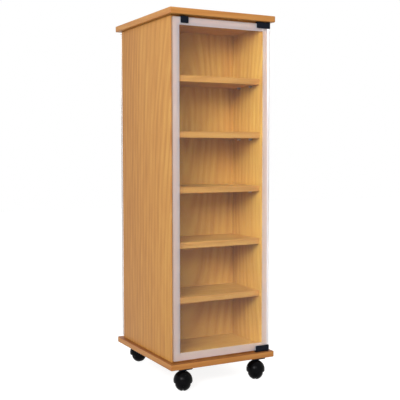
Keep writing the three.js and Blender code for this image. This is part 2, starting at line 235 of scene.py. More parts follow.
def turned(outline, origin, direction, closed=False, steps=TURN_STEPS):
    """Shell from an outline of (radius, height) points: each point goes round the axis, at
    origin + height * direction + radius * (cos * first + sin * second)."""
    radius, height = np.array(outline, float).T[..., None, None]
    first, second = axes_for(direction)
    angle = np.linspace(0, 2 * np.pi, steps, endpoint=False)
    around = np.cos(angle)[:, None] * first + np.sin(angle)[:, None] * second
    grid = np.array(origin) + height * np.array(direction, float) + radius * around
    return grid, closed, True


def carried(outline, origin, across, up, along, length, ease, paired=False):
    """Shells from a closed flat outline of (across, up) points, in anticlockwise order, carried
    along a straight line. A quarter round eases both ends: inset = ease * (1 - sin t) at the
    place ease * (1 - cos t). Each end is closed towards the outline's middle or, for a channel,
    between its outer half and its inner half."""
    outline = np.array(outline, float)
    tangent = np.roll(outline, -1, axis=0) - np.roll(outline, 1, axis=0)
    tangent /= np.maximum(np.linalg.norm(tangent, axis=1, keepdims=True), MERGE)
    inward = np.stack([-tangent[:, 1], tangent[:, 0]], axis=1)
    quarter = np.linspace(0, np.pi / 2, ROUND_STEPS)
    inset = ease * (1 - np.sin(quarter))
    place = ease * (1 - np.cos(quarter))
    inset = np.concatenate([inset, inset[::-1]])
    place = np.concatenate([place, length - place[::-1]])
    flat = outline + inset[:, None, None] * inward
    if not paired:
        middle = np.broadcast_to(outline.mean(axis=0), outline.shape)
        flat = np.concatenate([[middle], flat, [middle]])
        place = np.concatenate([[0], place, [length]])
    across, up, along = (np.array(direction, float) for direction in (across, up, along))
    grid = np.array(origin) + flat[..., :1] * across + flat[..., 1:] * up
    grid = grid + place[:, None, None] * along
    if not paired:
        return [(grid, False, True)]
    half = len(outline) // 2
    ends = (np.stack([ring[:half], ring[half:][::-1]]) for ring in (grid[0], grid[-1]))
    return [(grid, False, True), *((end, False, False) for end in ends)]


bend = softened([(0, 0), (1, 0), (1, 1)], 1)
print("a corner of three points becomes a bend of", len(bend))

# %% [markdown]
# ## Finishes
# A finish is a small tree of nodes. Built node by node it takes many lines, so a class adds a
# node and feeds its inputs in one call. Patterns read object coordinates, which are metres in the
# tower, for every piece stands at the origin. Colours are written as they show on screen, and a
# helper undoes the screen's curve.

# %% Screen colours
SCREEN_FULL = 255


def seen(*levels):
    """Linear colour, with full alpha, of red, green and blue on screen, from 0 to 255."""
    shown = Color([level / SCREEN_FULL for level in levels])
    return (*shown.from_srgb_to_scene_linear(), 1.0)


print("the middle grey of a screen is", round(seen(128, 128, 128)[0], 3), "as light")

# %% Node helpers
class Nodes:
    """A node tree under construction."""

    def __init__(self, tree):
        self.tree = tree
        self.tree.nodes.clear()

    def feed(self, value, target):
        """Gives a socket another socket, a node's first output or a plain value."""
        if isinstance(value, bpy.types.Node):
            value = value.outputs[0]
        if isinstance(value, bpy.types.NodeSocket):
            self.tree.links.new(value, target)
        else:
            target.default_value = value

    def add(self, kind, **inputs):
        """A node of that kind. Inputs are named with a capital, or numbered as in0, and are fed.
        Lower-case names are settings of the node."""
        made = self.tree.nodes.new("ShaderNode" + kind)
        for key, value in inputs.items():
            if key[:2] == "in" and key[2:].isdigit():
                self.feed(value, made.inputs[int(key[2:])])
            elif key[0].isupper():
                self.feed(value, made.inputs[key.replace("_", " ")])
            else:
                setattr(made, key, value)
        return made

    def maths(self, operation, first, second=0.0, third=0.0):
        return self.add("Math", operation=operation, in0=first, in1=second, in2=third)

    def between(self, value, low, high):
        """0 below low, 1 above high, with a soft step between them."""
        return self.add("MapRange", interpolation_type="SMOOTHSTEP", in0=value, in1=low, in2=high)

    def noise(self, vector, scale, detail=2.0, roughness=0.5):
        """Cloudy pattern from 0 to 1, with so many features per metre."""
        return self.add("TexNoise", Vector=vector, Scale=scale, Detail=detail, Roughness=roughness)

    def blend(self, factor, first, second, kind="MIX"):
        """Colour that goes from the first towards the second as the factor rises."""
        made = self.add("Mix", data_type="RGBA", blend_type=kind, in0=factor, in6=first, in7=second)
        return made.outputs[2]


class Finish(Nodes):
    """A material under construction, with its main shader and its coordinates."""

    def __init__(self, name, **settings):
        self.material = bpy.data.materials.new(name)
        self.material.use_nodes = True
        super().__init__(self.material.node_tree)
        self.shader = self.add("BsdfPrincipled", **settings)
        self.output = self.add("OutputMaterial", Surface=self.shader)
        self.place = self.add("TexCoord").outputs["Object"]
        self.x, self.y, self.z = self.add("SeparateXYZ", Vector=self.place).outputs

    def facing(self):
        """X, Y and Z of the direction that the surface faces."""
        return self.add("SeparateXYZ", Vector=self.add("NewGeometry").outputs["Normal"]).outputs

    def colour(self, source):
        self.feed(source, self.shader.inputs["Base Color"])

    def rough(self, source, low, high):
        """Roughness that follows a 0 to 1 pattern between two values."""
        spread = self.add("MapRange", in0=source, To_Min=low, To_Max=high)
        self.feed(spread, self.shader.inputs["Roughness"])

    def relief(self, source, depth):
        """Bump of a real depth in metres."""
        bump = self.add("Bump", Height=source, Distance=depth, Strength=1.0)
        self.feed(bump, self.shader.inputs["Normal"])


print("node helpers ready")

# %% [markdown]
# ## Beech-effect foil
# The boards are particle board covered with printed foil. The print shows a trunk that was cut
# flat: growth rings run out from a heart line in long arches and end nearly straight. An image
# would repeat, so the figure is worked out from the distance to the heart line, with the length
# squeezed. It drives the rings, and the broad bands and fine streaks that follow them. The tone
# deepens away from the heart. Clouds, fibres and the short dark flecks of beech lie over it.

# %% Beech figure
SHELVES = sorted(node for node in nodes if "_shelf_" in node)
BOARDS = (
    "top_board", "base_board", "left_side_panel", "right_side_panel", "inner_top_panel",
    "inner_bottom_panel", "centre_partition", *SHELVES,
)
TONE_STOPS = {0.45: seen(220, 168, 87), 0.67: seen(202, 142, 69), 0.92: seen(172, 110, 48)}
BASE_TONE = 0.11
DEEPER_PER_METRE = 0.55
TONE_SHARES = {"rings": 0.35, "clouds": 0.24, "bands": 0.32, "streaks": 0.2, "fibres": 0.12}
RINGS_PER_METRE = 55.0
RING_SHARPNESS = 1.6
ARCH_SQUEEZE = 0.17
WOBBLE = 0.05
GOLDEN_SHARE = 0.618
FLECK_START = 0.66
FLECK_FULL = 0.72
# How many features each noise has per metre, along the grain and sideways.
GRAIN = {
    "wander": {"lengthwise": 1.6, "sideways": 5.0},
    "clouds": {"lengthwise": 0.9, "sideways": 9.0},
    "bands": {"lengthwise": 9.0, "sideways": 90.0},
    "streaks": {"lengthwise": 1.6, "sideways": 240.0, "detail": 3.0, "roughness": 0.6},
    "fibres": {"lengthwise": 22.0, "sideways": 900.0, "detail": 3.0, "roughness": 0.65},
    "flecks": {"lengthwise": 190.0, "sideways": 1500.0, "detail": 1.0},
}


def beech_figure(finish, along, across, heart, stretch):
    """Tone, fibres and flecks of the print. The distance from the heart line is the root of
    beside * beside + squeezed * squeezed. The rings rise and fall with it, and the tone is the
    sum of the patterns, each times its share."""
    maths = finish.maths

    def drawn_out(place, lengthwise, sideways, **fineness):
        spot = finish.add(
            "CombineXYZ",
            X=maths("MULTIPLY", place, sideways),
            Y=maths("MULTIPLY", along, lengthwise),
            Z=stretch,
        )
        return finish.noise(spot, 1.0, **fineness)

    wander = drawn_out(across, **GRAIN["wander"])
    beside = maths("MULTIPLY_ADD", wander, WOBBLE, maths("SUBTRACT", across, heart))
    squeezed = maths("MULTIPLY", maths("ADD", along, stretch % 1 - 0.5), ARCH_SQUEEZE)
    squared = maths("MULTIPLY", squeezed, squeezed)
    distance = maths("SQRT", maths("MULTIPLY_ADD", beside, beside, squared))
    rings = maths("PINGPONG", maths("MULTIPLY", distance, RINGS_PER_METRE), 0.5)
    patterns = {
        "rings": maths("POWER", rings, RING_SHARPNESS),
        "clouds": drawn_out(across, **GRAIN["clouds"]),
        "bands": drawn_out(distance, **GRAIN["bands"]),
        "streaks": drawn_out(distance, **GRAIN["streaks"]),
        "fibres": drawn_out(across, **GRAIN["fibres"]),
    }
    tone = maths("MULTIPLY_ADD", maths("ABSOLUTE", beside), DEEPER_PER_METRE, BASE_TONE)
    for name, share in TONE_SHARES.items():
        tone = maths("MULTIPLY_ADD", patterns[name], share, tone)
    flecks = finish.between(drawn_out(across, **GRAIN["flecks"]), FLECK_START, FLECK_FULL)
    return tone, patterns["fibres"], flecks


print("the print has", RINGS_PER_METRE, "rings a metre")

# %% [markdown]
# ## Foil on a board
# Each board shows another stretch of the print, so no two are alike. Its edge bands are a
# slightly more orange print, with a thin dark joint. They could be solids of their own, but only
# a change of tone shows. Faces and bands both have the grain along them, which decides where
# the figure is worked out.

# %% Foil on a board
FLECK_TONE = seen(140, 88, 45)
FLECK_SHARE = 0.35
SEAM_TONE = seen(112, 72, 38)
SEAM_SHARE = 0.5
SEAM_HALF_WIDTH = 0.12 * MM
BAND_TINT = (0.9, 0.82, 0.94, 1.0)
SQUARE_ON = 0.6
FOIL_SHINE = 0.2
FOIL_SHEEN = (0.36, 0.5)
FOIL_RELIEF = 0.02 * MM


def upright_places(finish, node, grain):
    """Places along and across the grain from the board's middle. Faces and edges alike have the
    grain along them, so the place across is the sum of the two other directions."""
    middle = box_of(node)[2]
    first, second = (axis for axis in AXIS if axis != grain)
    along = finish.maths("SUBTRACT", getattr(finish, grain), middle[AXIS[grain]])
    across = finish.maths("ADD", getattr(finish, first), getattr(finish, second))
    shift = middle[AXIS[first]] + middle[AXIS[second]]
    return along, finish.maths("SUBTRACT", across, shift)


def framed_places(finish, node):
    """Places for a board that is banded on all four edges. Its faces and its side edges have
    the grain along Y, and its front and rear edges have it along X."""
    facing = finish.maths("ABSOLUTE", finish.facing()[1])
    end_on = finish.maths("GREATER_THAN", facing, SQUARE_ON)
    along = finish.add("Mix", data_type="FLOAT", in0=end_on, in2=finish.y, in3=finish.x)
    crosswise = finish.add("Mix", data_type="FLOAT", in0=end_on, in2=finish.x, in3=finish.y)
    height = finish.maths("SUBTRACT", finish.z, box_of(node)[2][2])
    return along, finish.maths("ADD", crosswise, height)


def banded(finish, colour, node, seams):
    """The colour with an edge band past each joint, given as (axis, place)."""
    for axis, joint in seams:
        place = getattr(finish, axis)
        outward = "GREATER_THAN" if joint > box_of(node)[2][AXIS[axis]] else "LESS_THAN"
        band = finish.maths(outward, place, joint)
        line = finish.maths("COMPARE", place, joint, SEAM_HALF_WIDTH)
        colour = finish.blend(band, colour, BAND_TINT, "MULTIPLY")
        colour = finish.blend(finish.maths("MULTIPLY", line, SEAM_SHARE), colour, SEAM_TONE)
    return colour


def beech(node, grain=None, heart=0.0, seams=(), sheen=FOIL_SHEEN, painted_shade_tint=None):
    """Beech foil for one board, whose heart line runs that far from its middle. The sheen is
    its least and greatest roughness. A painted shade tint darkens its upper face."""
    finish = Finish(f"{node}_beech", Specular_IOR_Level=FOIL_SHINE)
    along, across = upright_places(finish, node, grain) if grain else framed_places(finish, node)
    stretch = (BOARDS.index(node) + 1) * GOLDEN_SHARE
    tone, fibres, flecks = beech_figure(finish, along, across, heart, stretch)
    ramp = finish.add("ValToRGB", in0=tone)
    stops = ramp.color_ramp.elements
    stops.new(sorted(TONE_STOPS)[1])
    for stop, (place, colour) in zip(stops, TONE_STOPS.items()):
        stop.position = place
        stop.color = colour
    colour = finish.blend(finish.maths("MULTIPLY", flecks, FLECK_SHARE), ramp, FLECK_TONE)
    colour = banded(finish, colour, node, seams)
    # Painted shade: faces that look up are multiplied by the tint, darkened as if shaded.
    if painted_shade_tint:
        upper = finish.maths("GREATER_THAN", finish.facing()[2], SQUARE_ON)
        colour = finish.blend(upper, colour, painted_shade_tint, "MULTIPLY")
    finish.colour(colour)
    finish.rough(fibres, *sheen)
    finish.relief(fibres, FOIL_RELIEF)
    return finish.material


print(len(BOARDS), "boards to dress in foil")

# %% [markdown]
# ## The boards
# The top and base boards are banded all round. The side panels and the panels inside are banded
# where they end at the doors, and a shelf only along its free edge. The grain is upright on the
# side panels, runs with the long side of the top and base boards, and crosses on the shelves.
# The upper face of the base board is darkened by painted shade, and shows as a dark rim
# round the foot.

# %% Boards
EDGE_BAND = 1.0 * MM
FRAME_BAND = 2.0 * MM
FRAME_HEARTS = {"top_board": -60 * MM, "base_board": 30 * MM}
# Painted shade: the base board's upper face is multiplied darker, as the shade it lies in.
PAINTED_SHADE_TINTS = {"base_board": (0.5, 0.4, 0.42, 1.0)}
SIDE_HEART = -190 * MM
SHELF_HEART = 120 * MM
PARTITION_SHEEN = (0.5, 0.65)


def dress(node, material):
    """Gives a CAD solid its finish."""
    nodes[node].data.materials.clear()
    nodes[node].data.materials.append(material)


def band_joints(node, axes, band):
    """Places of the joints between a board's faces and the bands at both its ends."""
    return [(axis, edge_of(node, axis, way) - way * band) for axis in axes for way in (-1, 1)]


for node, heart in FRAME_HEARTS.items():
    seams = band_joints(node, "xy", FRAME_BAND)
    dress(node, beech(node, None, heart, seams, painted_shade_tint=PAINTED_SHADE_TINTS.get(node)))
for side in SIDES:
    node = f"{side}_side_panel"
    dress(node, beech(node, "z", SIDE_HEART, band_joints(node, "y", EDGE_BAND)))
for end in ENDS:
    node = f"inner_{end}_panel"
    dress(node, beech(node, "x", 0.0, band_joints(node, "y", EDGE_BAND)))
dress("centre_partition", beech("centre_partition", "z", sheen=PARTITION_SHEEN))
for node in SHELVES:
    side = FACES[node.split("_")[0]]
    seams = [("y", edge_of(node, "y", side) - side * EDGE_BAND)]
    dress(node, beech(node, "x", -side * SHELF_HEART, seams))
print(len(SHELVES), "of the boards are shelves")

# %% [markdown]
# ## Glass with an etched border
# Each door is one pane of toughened glass, clear in the middle. An etched border scatters the
# light: things close behind it show pale and soft, and things further back melt into grey. The
# ground edges are matt too, and their grey-brown is partly painted shade. One shader does all of
# it, with a mask from the distance to the pane's edges. Lamps shine through it, as through a
# window.

# %% Doors
ETCHED_WIDTH = 20 * MM
ETCH_SOFTNESS = 0.3 * MM
ETCHED_SCATTER = 0.23
ETCHED_ROUGHNESS = 0.34
SPECKLES_PER_METRE = 2600.0
SPECKLE_ROUGHNESS = 0.1
CLEAR_TINT = seen(244, 252, 250)
ETCHED_TINT = seen(242, 244, 250)
# Partly painted shade: the matt ground edges are tinted a dark grey-brown for the shade they show.
SHADED_GROUND_TINT = seen(158, 140, 122)
GLASS_IOR = 1.3
FACE_ON = 0.9


def pane_glass(face):
    """Clear glass, matt on its ground edges and where the inset, half the pane's size less the
    distance from its middle, is less than the border's width."""
    low, high, middle = box_of(f"{face}_door_glass")
    half = (high - low) / 2
    finish = Finish(f"{face}_etched_glass", IOR=GLASS_IOR)
    maths = finish.maths

    def inset(axis):
        off_middle = maths("SUBTRACT", getattr(finish, axis), middle[AXIS[axis]])
        return maths("SUBTRACT", half[AXIS[axis]], maths("ABSOLUTE", off_middle))

    nearest = maths("MINIMUM", inset("x"), inset("z"))
    border = finish.between(nearest, ETCHED_WIDTH + ETCH_SOFTNESS, ETCHED_WIDTH - ETCH_SOFTNESS)
    ground = maths("LESS_THAN", maths("ABSOLUTE", finish.facing()[1]), FACE_ON)
    matt = maths("MAXIMUM", border, ground)
    # The ground edges take the darker grey-brown tint, which is partly painted shade.
    tint = finish.blend(ground, finish.blend(border, CLEAR_TINT, ETCHED_TINT), SHADED_GROUND_TINT)
    finish.colour(tint)
    speckle = finish.noise(finish.place, SPECKLES_PER_METRE)
    scatter = maths("MULTIPLY_ADD", speckle, SPECKLE_ROUGHNESS, ETCHED_ROUGHNESS)
    finish.feed(maths("MULTIPLY", matt, scatter), finish.shader.inputs["Roughness"])
    passing = maths("MULTIPLY_ADD", matt, -ETCHED_SCATTER, 1.0)
    finish.feed(passing, finish.shader.inputs["Transmission Weight"])
    open_glass = finish.add("BsdfTransparent", Color=tint)
    lamp = finish.add("LightPath").outputs["Is Shadow Ray"]
    passed = finish.add("MixShader", in0=lamp, in1=finish.shader, in2=open_glass)
    finish.feed(passed, finish.output.inputs["Surface"])
    return finish.material


for face in FACES:
    dress(f"{face}_door_glass", pane_glass(face))
print(len(FACES), "panes with a border of", ETCHED_WIDTH / MM, "mm")

# %% [markdown]
# ## Black coat, nylon, steel and rubber
# The clips are pressed metal with the faint ripple of black paint. Moulded nylon is darker,
# with a fine even grain. Plated steel is bright and slightly clouded, the castor axles are of
# blackened steel, and rubber is dull and dusty. Noise at the right scale is all that any of them
# needs, so they share a function and differ in its values.

# %% Metals, nylon and rubber
STEEL_CLOUD = {"scale": 900.0, "detail": 3.0, "roughness": 0.6}
SURFACES = {
    "black_coat": {
        "slot": "black_metal", "pattern": {"scale": 700.0}, "relief": 0.015 * MM,
        "tones": (seen(10, 14, 22), seen(22, 29, 42)), "roughness": (0.16, 0.26),
        "Specular_IOR_Level": 0.07,
    },
    "black_nylon": {
        "slot": "black_nylon", "pattern": {"scale": 3500.0}, "relief": 0.01 * MM,
        "clouds": {"scale": 60.0}, "tones": (seen(1, 1, 2), seen(7, 7, 9)),
        "roughness": (0.22, 0.3), "IOR": 1.15,
    },
    "plated_steel": {
        "slot": "steel", "pattern": STEEL_CLOUD, "relief": 0.01 * MM, "Metallic": 1.0,
        "tones": (seen(176, 178, 182), seen(206, 207, 209)), "roughness": (0.2, 0.38),
    },
    "blackened_steel": {
        "slot": "steel", "pattern": STEEL_CLOUD, "relief": 0.01 * MM, "Metallic": 1.0,
        "tones": (seen(26, 26, 29), seen(40, 41, 44)), "roughness": (0.35, 0.5),
    },
    "dark_rubber": {
        "slot": "black_metal", "pattern": {"scale": 1200.0, "detail": 3.0}, "relief": 0.02 * MM,
        "tones": (seen(18, 18, 18), seen(40, 40, 41)), "roughness": (0.6, 0.8),
        "Specular_IOR_Level": 0.2,
    },
}


def surface_of(name, slot, pattern, tones, roughness, relief, clouds=None, **settings):
    """Finish whose roughness and relief follow one noise. Its tone goes between two with the
    same noise, or with broader clouds."""
    finish = Finish(name, **settings)
    fine = finish.noise(finish.place, **pattern)
    broad = finish.noise(finish.place, **clouds) if clouds else fine
    finish.colour(finish.blend(broad, *tones))
    finish.rough(fine, *roughness)
    finish.relief(fine, relief)
    return finish.material, slot


COAT, NYLON, STEEL, BLACK_STEEL, RUBBER = (
    surface_of(name, **values) for name, values in SURFACES.items()
)
for material, slot in (COAT, NYLON, STEEL):
    for entry in frame["record"]["subparts"]:
        if entry["material_slot"] == slot:
            dress(entry["node"], material)
print("finishes made:", *SURFACES)

# %% [markdown]
# ## Screws
# A screw head is a low dome with a recess. The recess could be cut out, but when the head is a
# surface of height over a circle, a cross or a hexagon is only a different formula for how deep
# a point lies inside the recess.

# %% Screws
HEAD_RINGS = 20
HEAD_POWER = 4
RECESS_BLUR = 0.12 * MM
RECESS_SHARE = 2 / 3
CROSS_ARM_SHARE = 1 / 8


def cross_depth(along, across, size):
    """Distance inside a cross whose arms are as long as the size, and a quarter of it wide."""
    arm = size * CROSS_ARM_SHARE
    inside_arms = np.maximum(arm - np.abs(along), arm - np.abs(across))
    return np.minimum(inside_arms, size / 2 - np.hypot(along, across))


def hexagon_depth(along, across, size):
    """Distance inside a hexagon as wide across its flats as the size."""
    turns = np.arange(3) * np.pi / 3
    off_middle = [np.abs(along * np.cos(turn) + across * np.sin(turn)) for turn in turns]
    return size / 2 - np.max(off_middle, axis=0)


def screw_head(origin, direction, radius, height, recess, size):
    """Closed head that stands on the origin: height * (1 - (r / radius) ** 4), less the recess,
    whose floor is two thirds of the height down and whose wall is a short smooth step."""
    distance = np.linspace(0, radius, HEAD_RINGS)[:, None]
    angle = np.linspace(0, 2 * np.pi, TURN_STEPS, endpoint=False)[None, :]
    along, across = distance * np.cos(angle), distance * np.sin(angle)
    sunk = np.clip(recess(along, across, size) / RECESS_BLUR + 0.5, 0, 1)
    sunk = sunk * sunk * (3 - 2 * sunk)
    rise = height * (1 - (distance / radius) ** HEAD_POWER - RECESS_SHARE * sunk)
    first, second = axes_for(direction)
    flat = origin + along[..., None] * first + across[..., None] * second
    top = flat + rise[..., None] * np.array(direction, float)
    foot = np.broadcast_to(np.array(origin, float), (1, TURN_STEPS, 3))
    return np.concatenate([top, foot]), False, True


print("a screw head has", HEAD_RINGS, "rings of", TURN_STEPS, "points")

# %% [markdown]
# ## Clips on the glass
# Each hinge clip grips the pane's edge with a thin rubber liner between. The strike clip on the
# top edge is smaller, and meets the push latch. All are channels: a U-shaped outline carried
# along the pane's edge. A bent sheet with a thickness would do too, but an outline also rounds
# the corners.

# %% Clips
CLIP_WALLS = {"hinge": 2 * MM, "strike": 1.5 * MM}
CLIP_ROUND = 0.8 * MM
GLASS_GAP = 0.25 * MM
LINER_SLACK = GLASS_GAP / 10
LINER_WALL = GLASS_GAP - 2 * LINER_SLACK
LINER_ROUND = GLASS_GAP / 4
LINER_SHOW = 0.5 * MM


def channel(node, pane, end, wall, inset, slack, show, rounding):
    """Shells of a channel over the pane's edge, inset from the CAD clip's outline, with that
    slack between its ceiling and the edge. Its foot shows that far past the clip's foot."""
    low, high, middle = box_of(node)
    half = (high[1] - low[1]) / 2 - inset
    crown = edge_of(node, "z", end) - end * inset
    foot = edge_of(node, "z", -end) - end * show
    ceiling = edge_of(pane, "z", end) + end * slack
    outline = np.array([
        (-half, foot), (-half, crown), (half, crown), (half, foot),
        (half - wall, foot), (half - wall, ceiling), (wall - half, ceiling), (wall - half, foot),
    ])
    return carried(
        softened(outline[::-1] if end > 0 else outline, rounding, closed=True),
        (low[0] + inset, middle[1], 0), (0, 1, 0), (0, 0, 1), (1, 0, 0),
        high[0] - low[0] - 2 * inset, rounding / 2, paired=True,
    )


def clip_pair(node, pane, kind, end):
    """The pressing, in the clip's own outline, and the liner inside it."""
    wall = CLIP_WALLS[kind]
    inset = wall + LINER_SLACK
    pressing = channel(node, pane, end, wall, 0, GLASS_GAP, 0, CLIP_ROUND)
    liner = channel(node, pane, end, LINER_WALL, inset, LINER_SLACK, LINER_SHOW, LINER_ROUND)
    stand_in(node, "pressing", pressing, COAT)
    make_piece(f"{node}_liner", liner, RUBBER, body_of(node))


print("a liner's wall is", round(LINER_WALL / MM, 2), "mm")

# %% [markdown]
# ## Hinges
# Two hexagon socket screws hold each hinge clip from its inner side. The clip's pin turns in a
# flanged bush, pushed into the top or the base board. Both are turned round the pin's own line,
# so they stay in line.

# %% Hinges
SET_SCREW_SHARES = {"inner": 0.3, "outer": 0.7}
SET_SCREW = {"radius": 2.4 * MM, "height": 0.6 * MM, "recess": hexagon_depth, "size": 2.5 * MM}
PIN_CHAMFER = 0.4 * MM
BUSH_SLEEVE = 4.5 * MM
BUSH_BORE = 2.1 * MM
BUSH_ROUND = 0.3 * MM
BOARD_AT = {"top": "top_board", "bottom": "base_board"}


def set_screws(clip, pane, side, end):
    """Heads on the clip's inner face, halfway between the pane's edge and the clip's foot."""
    low, high, _ = box_of(clip)
    height = (edge_of(pane, "z", end) + edge_of(clip, "z", -end)) / 2
    for label, share in SET_SCREW_SHARES.items():
        place = low[0] + share * (high[0] - low[0])
        spot = np.array([place, edge_of(clip, "y", -side), height])
        head = screw_head(spot, (0, -side, 0), **SET_SCREW)
        make_piece(f"{clip}_{label}_screw", [head], STEEL, body_of(clip))


def hinge_pin(pin):
    """Rod with chamfered ends, in the pin's own box. Gives the foot of its line."""
    low, high, middle = box_of(pin)
    foot = (middle[0], middle[1], 0)
    radius = (high[0] - low[0]) / 2
    tip = radius - PIN_CHAMFER
    rod = [
        (0, low[2]), (tip, low[2]), (radius, low[2] + PIN_CHAMFER),
        (radius, high[2] - PIN_CHAMFER), (tip, high[2]), (0, high[2]),
    ]
    stand_in(pin, "rod", [turned(rod, foot, UP)], STEEL)
    return foot


def hinge_bush(bush, board, foot, end):
    """Sleeve in the board, with a flange that lies against the board's inner face."""
    low, high, _ = box_of(bush)
    flange = (high[0] - low[0]) / 2
    rim, deep = edge_of(bush, "z", -end), edge_of(bush, "z", end)
    board_face = edge_of(board, "z", -end)
    sleeve = softened([
        (BUSH_BORE, rim), (flange, rim), (flange, board_face), (BUSH_SLEEVE, board_face),
        (BUSH_SLEEVE, deep), (BUSH_BORE, deep),
    ], BUSH_ROUND, closed=True)
    stand_in(bush, "moulding", [turned(sleeve, foot, UP, closed=True)], NYLON)


for face, side in FACES.items():
    pane = f"{face}_door_glass"
    for place, end in ENDS.items():
        clip = f"{face}_door_{place}_hinge_clip"
        clip_pair(clip, pane, "hinge", end)
        set_screws(clip, pane, side, end)
        foot = hinge_pin(f"{face}_door_{place}_hinge_pin")
        hinge_bush(f"{face}_door_{place}_bush", BOARD_AT[place], foot, end)
    clip_pair(f"{face}_door_strike_clip", pane, "strike", ENDS["top"])
print("clips, pins and bushes made")

# %% [markdown]
# ## Push latches
# A press on the closed door pushes the plunger in, and its spring then throws the door open. The
# plunger is turned steel with a rounded tip and a ring groove. It slides in a nylon barrel with
# a flange against the panel's edge. Both are round, so both are turned outlines.

# %% Push latches
BARREL_RADIUS = 5 * MM
BARREL_BORE = 3.8 * MM
BARREL_FLANGE = 1 * MM
BARREL_END = 1.5 * MM
BARREL_ROUND = 0.4 * MM
TIP_ROUND = 1.5 * MM
RING_GROOVE = 0.3 * MM
RING_PLACE = 4 * MM


def latch_line(node):
    """Inner end, outer end and radius of a latch's solid, and the foot of its line in the
    tower's middle plane."""
    low, high, middle = box_of(node)
    back, front = np.sort(np.abs([low[1], high[1]]))
    return back, front, (high[2] - low[2]) / 2, (middle[0], 0, middle[2])


def latch_barrel(barrel, outward):
    """Closed tube with a flange round its mouth. Gives the foot of its line."""
    back, front, flange, foot = latch_line(barrel)
    seat = front - BARREL_FLANGE
    tube = softened([
        (0, back), (BARREL_RADIUS, back), (BARREL_RADIUS, seat), (flange, seat), (flange, front),
        (BARREL_BORE, front), (BARREL_BORE, back + BARREL_END), (0, back + BARREL_END),
    ], BARREL_ROUND)
    stand_in(barrel, "moulding", [turned(tube, foot, outward)], NYLON)
    return foot


def latch_plunger(plunger, foot, outward):
    """Stem with a ring groove behind its rounded tip."""
    back, front, radius, _ = latch_line(plunger)
    groove = front - RING_PLACE
    stem = softened([
        (0, back), (radius, back), (radius, groove - RING_GROOVE), (radius - RING_GROOVE, groove),
        (radius, groove + RING_GROOVE), (radius, front - TIP_ROUND), (radius - TIP_ROUND, front),
        (0, front),
    ], TIP_ROUND / 2)
    stand_in(plunger, "stem", [turned(stem, foot, outward)], STEEL)


for face, side in FACES.items():
    outward = np.array([0, side, 0])
    foot = latch_barrel(f"{face}_latch_barrel", outward)
    latch_plunger(f"{face}_latch_plunger", foot, outward)
print("latches made")

# %% [markdown]
# ## Latch springs
# A small compression spring pushes each plunger out. The real one shortens as the plunger goes
# in; this coil keeps one length. A curve with a round bevel would do, but one formula gives a
# mesh: the wire's middle goes round the barrel's line and rises, save near both ends, where it
# lies flat as on a real spring.

# %% Latch springs
SPRING_WIRE = 0.45 * MM
SPRING_TURNS = 5
FLAT_TURNS = 0.8
STEPS_PER_TURN = 24
WIRE_STEPS = 10


def latch_spring(face, side):
    """Round wire: at turn t its middle is radius * (cos, sin) round the barrel's line, at the
    height span * clip((t - flat) / (turns - 2 flat)). Each cross-section is a small circle."""
    spring = f"{face}_latch_spring"
    near, far, outside, foot = latch_line(spring)
    outward = np.array([0, side, 0])
    first, second = axes_for(outward)
    turn = np.linspace(0, SPRING_TURNS, SPRING_TURNS * STEPS_PER_TURN + 1)[:, None]
    angle = turn * 2 * np.pi
    radial = np.cos(angle) * first + np.sin(angle) * second
    climb = np.clip((turn - FLAT_TURNS) / (SPRING_TURNS - 2 * FLAT_TURNS), 0, 1)
    height = near + SPRING_WIRE + climb * (far - near - 2 * SPRING_WIRE)
    line = np.array(foot) + height * outward + (outside - SPRING_WIRE) * radial
    around = np.linspace(0, 2 * np.pi, WIRE_STEPS, endpoint=False)[None, :, None]
    circle = np.cos(around) * radial[:, None] + np.sin(around) * outward
    wire = line[:, None] + SPRING_WIRE * circle
    ends = [np.repeat(point[None, None], WIRE_STEPS, axis=1) for point in (line[0], line[-1])]
    shell = (np.concatenate([ends[0], wire, ends[1]]), False, True)
    coil = stand_in(spring, "coil", [shell], STEEL)
    travel = abs(min(joints[f"{face}_latch_push"]["range_m"]))
    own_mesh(coil)


for face, side in FACES.items():
    latch_spring(face, side)
print("latch springs wound")

# %% [markdown]
# ## Shelf supports
# Each shelf lies on four plated pins, pushed into holes in the side panels. They are set back
# from the free edge, so they hardly show. A plain rod would do, but a rounded end costs only one
# more corner of the outline.

# %% Shelf supports
SUPPORT_RADIUS = 2.5 * MM
SUPPORT_LENGTH = 9 * MM
SUPPORT_INSET = 40 * MM
SUPPORT_GAP = 0.05 * MM
SUPPORT_CHAMFER = 0.5 * MM
SUPPORT_STEPS = TURN_STEPS // 2
SUPPORT_PIN = softened([
    (0, 0), (SUPPORT_RADIUS, 0), (SUPPORT_RADIUS, SUPPORT_LENGTH - SUPPORT_CHAMFER),
    (SUPPORT_RADIUS - SUPPORT_CHAMFER, SUPPORT_LENGTH), (0, SUPPORT_LENGTH),
], SUPPORT_CHAMFER / 2)


def shelf_supports(shelf):
    """Pins that stand out of the side panels, just under the shelf."""
    low, high, _ = box_of(shelf)
    height = low[2] - SUPPORT_RADIUS - SUPPORT_GAP
    places = {"near": low[1] + SUPPORT_INSET, "far": high[1] - SUPPORT_INSET}
    for side, inward in SIDES.items():
        wall = edge_of(f"{side}_side_panel", "x", inward)
        for end, place in places.items():
            shell = turned(SUPPORT_PIN, (wall, place, height), (inward, 0, 0), steps=SUPPORT_STEPS)
            make_piece(f"{shelf}_{side}_{end}_support", [shell], STEEL, "carcass")


for shelf in SHELVES:
    shelf_supports(shelf)
print("shelf supports made")

# %% [markdown]
# ## Castors
# Each castor is a twin-wheel furniture castor: a steel plate with a kingpin riveted into it, a
# nylon hood that swivels on the pin, and two domed wheels on one axle, set back from the pin.
# Nearly all of it is turned work, so it needs only two lines, the swivel's and the axle's, and a
# few outlines that go round them. A castor stands askew, so both are read from its joints.

# %% Castor lines
ARC_STEPS = 18
SOFT = 0.5 * MM
AXLE_RADIUS = 3 * MM
RUNNING_GAP = 0.1 * MM


